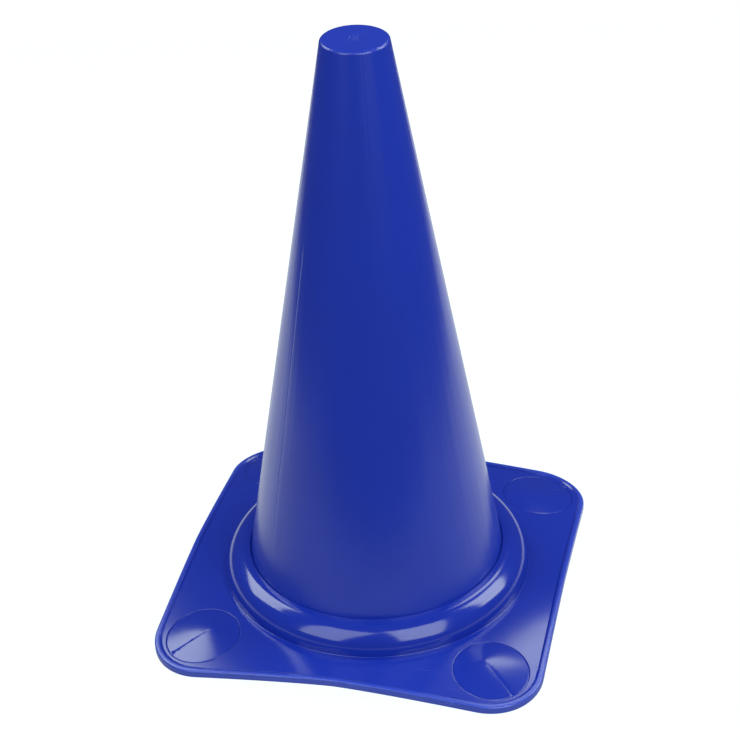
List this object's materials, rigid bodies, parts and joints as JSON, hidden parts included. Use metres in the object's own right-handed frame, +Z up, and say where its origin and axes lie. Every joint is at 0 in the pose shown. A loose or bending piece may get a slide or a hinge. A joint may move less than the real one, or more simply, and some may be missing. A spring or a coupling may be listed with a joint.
{
  "type": "sports marker cone",
  "caption": "Tall hollow marker cone with a closed flat top, on a square base with a round collar, a raised lip and round corner feet, moulded in glossy blue plastic.",
  "frame": {"origin": "on the floor under the cone's axis, which is the middle of the square base", "axes": "+Z up along the cone's axis, -Y towards the front side of the square base, +X to the right"},
  "size_m": [0.248, 0.248, 0.381],
  "materials": {
    "blue_plastic": "semi-gloss, injection moulded"
  },
  "bodies": {
    "root": {"cone_body": "blue_plastic", "base_plate": "blue_plastic", "foot_front_left": "blue_plastic", "foot_front_right": "blue_plastic", "foot_back_left": "blue_plastic", "foot_back_right": "blue_plastic"}
  },
  "joints": []
}
